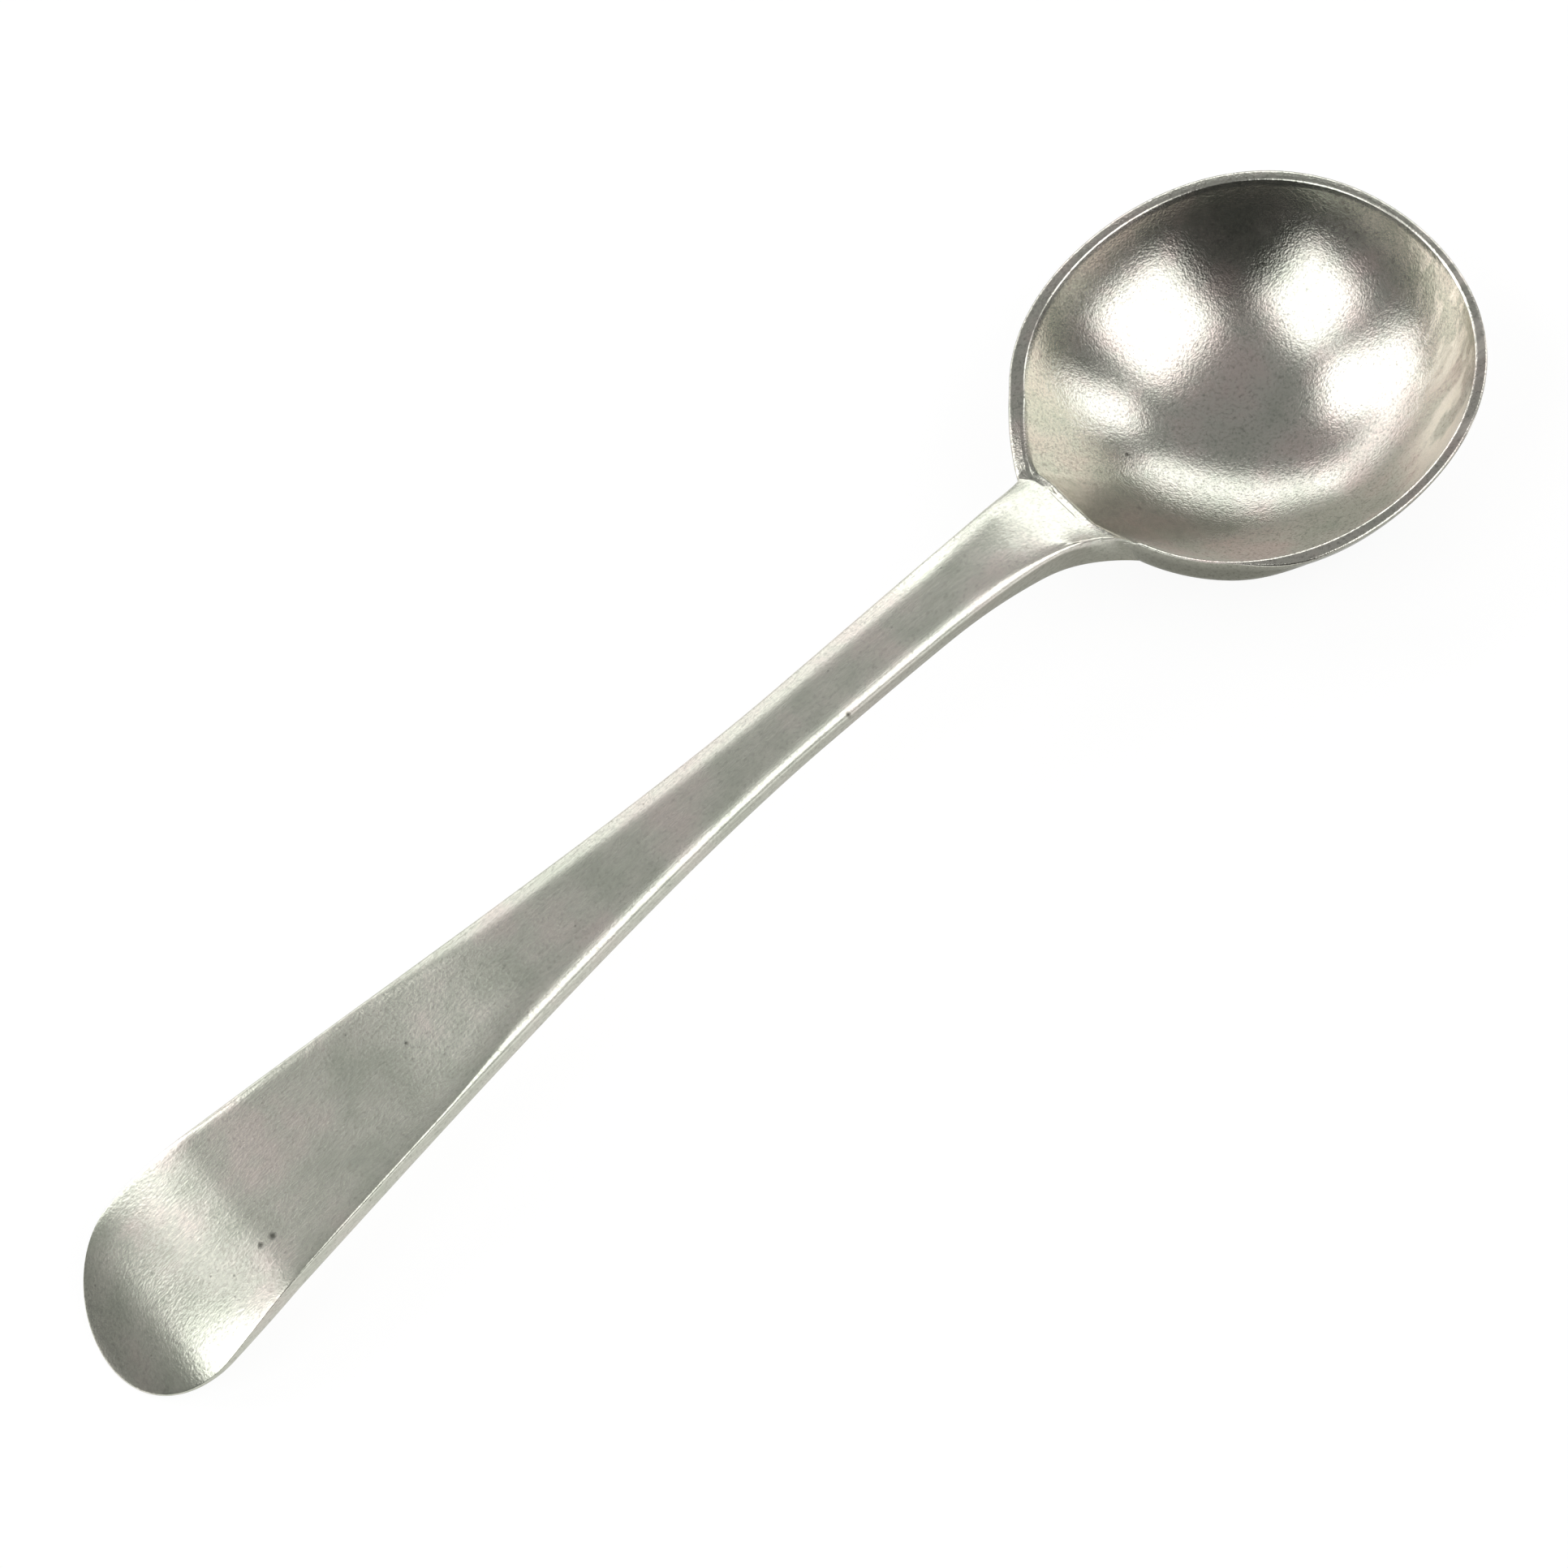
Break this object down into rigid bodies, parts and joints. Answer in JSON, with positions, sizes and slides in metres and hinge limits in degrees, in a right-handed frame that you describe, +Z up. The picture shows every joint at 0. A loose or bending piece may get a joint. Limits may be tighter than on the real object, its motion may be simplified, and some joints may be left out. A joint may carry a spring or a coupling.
{
  "type": "salt spoon",
  "caption": "Small silver salt spoon with a round deep bowl soldered to a slim tapering stem whose rounded end turns down; scoops and serves table salt.",
  "frame": {"origin": "middle of the worn flat under the bowl, on the surface that the spoon lies on", "axes": "+X along the spoon from the stem's end to the bowl, +Y across it, +Z up out of the bowl's mouth"},
  "size_m": [0.1, 0.0278, 0.0105],
  "materials": {
    "silver": "hand-worn sterling silver, satin with fine scratches and pits",
    "solder": "hard silver solder, filed flush and worn"
  },
  "bodies": {
    "root": {"bowl": "silver", "stem": "silver", "solder_seam": "solder"}
  },
  "joints": []
}
